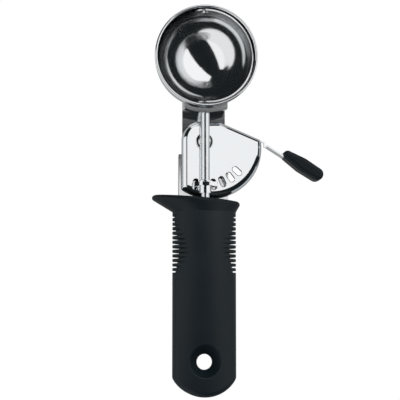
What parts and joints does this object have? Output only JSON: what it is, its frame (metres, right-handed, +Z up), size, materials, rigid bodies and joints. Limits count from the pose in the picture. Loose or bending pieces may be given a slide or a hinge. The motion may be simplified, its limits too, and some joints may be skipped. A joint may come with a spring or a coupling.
{
  "type": "ice cream scoop",
  "caption": "Lever ice cream scoop with a round steel bowl, a sweeping scraper blade driven by a geared thumb lever, and a soft grip handle with a hang hole.",
  "frame": {"origin": "middle of the scoop's box on the plane it lies on, bowl and handle both touching that plane", "axes": "+Y from the handle to the bowl, +Z up out of the open bowl, +X towards the thumb lever"},
  "size_m": [0.0976, 0.2198, 0.0374],
  "materials": {
    "polished_steel": "polished",
    "brushed_steel": "brushed",
    "chromed_steel": "bright plated",
    "spring_steel": "drawn wire",
    "soft_grip": "matte",
    "core_plastic": "moulded",
    "bearing_plastic": "moulded"
  },
  "bodies": {
    "scoop_body": {"bowl": "polished_steel", "far_rivet": "polished_steel", "frame": "polished_steel", "pivot_pin": "polished_steel", "stop_pin": "polished_steel", "pivot_bush": "polished_steel", "return_spring": "spring_steel", "grip": "soft_grip", "hand_guard": "soft_grip", "handle_core_front": "core_plastic", "handle_core_back": "core_plastic", "rod_bearing": "bearing_plastic", "core_screws": "spring_steel"},
    "lever": {"lever_plate": "chromed_steel", "pivot_washer": "polished_steel", "thumb_grip": "soft_grip"},
    "scraper": {"scraper": "brushed_steel", "scraper_rod": "chromed_steel", "rod_clip": "spring_steel", "pinion": "chromed_steel", "pinion_pin": "spring_steel"}
  },
  "joints": [
    {"name": "lever_press", "type": "hinge", "parent": "scoop_body", "child": "lever", "pos_m": [-0.01915, 0.0338, 0.01894], "axis": [0, 0.0687, -0.9976], "range_deg": [0, 39.66], "stiffness_Nm_per_rad": 0.4, "springref_deg": -28.65, "deforming": ["return_spring"]},
    {"name": "scraper_turn", "type": "hinge", "parent": "scoop_body", "child": "scraper", "pos_m": [-0.01915, 0.08046, 0.0285], "axis": [0, 0.9976, 0.0687], "range_deg": [0, 170]}
  ],
  "couplings": [
    {"joint": "scraper_turn", "follows": "lever_press", "ratio": 4.2857}
  ]
}
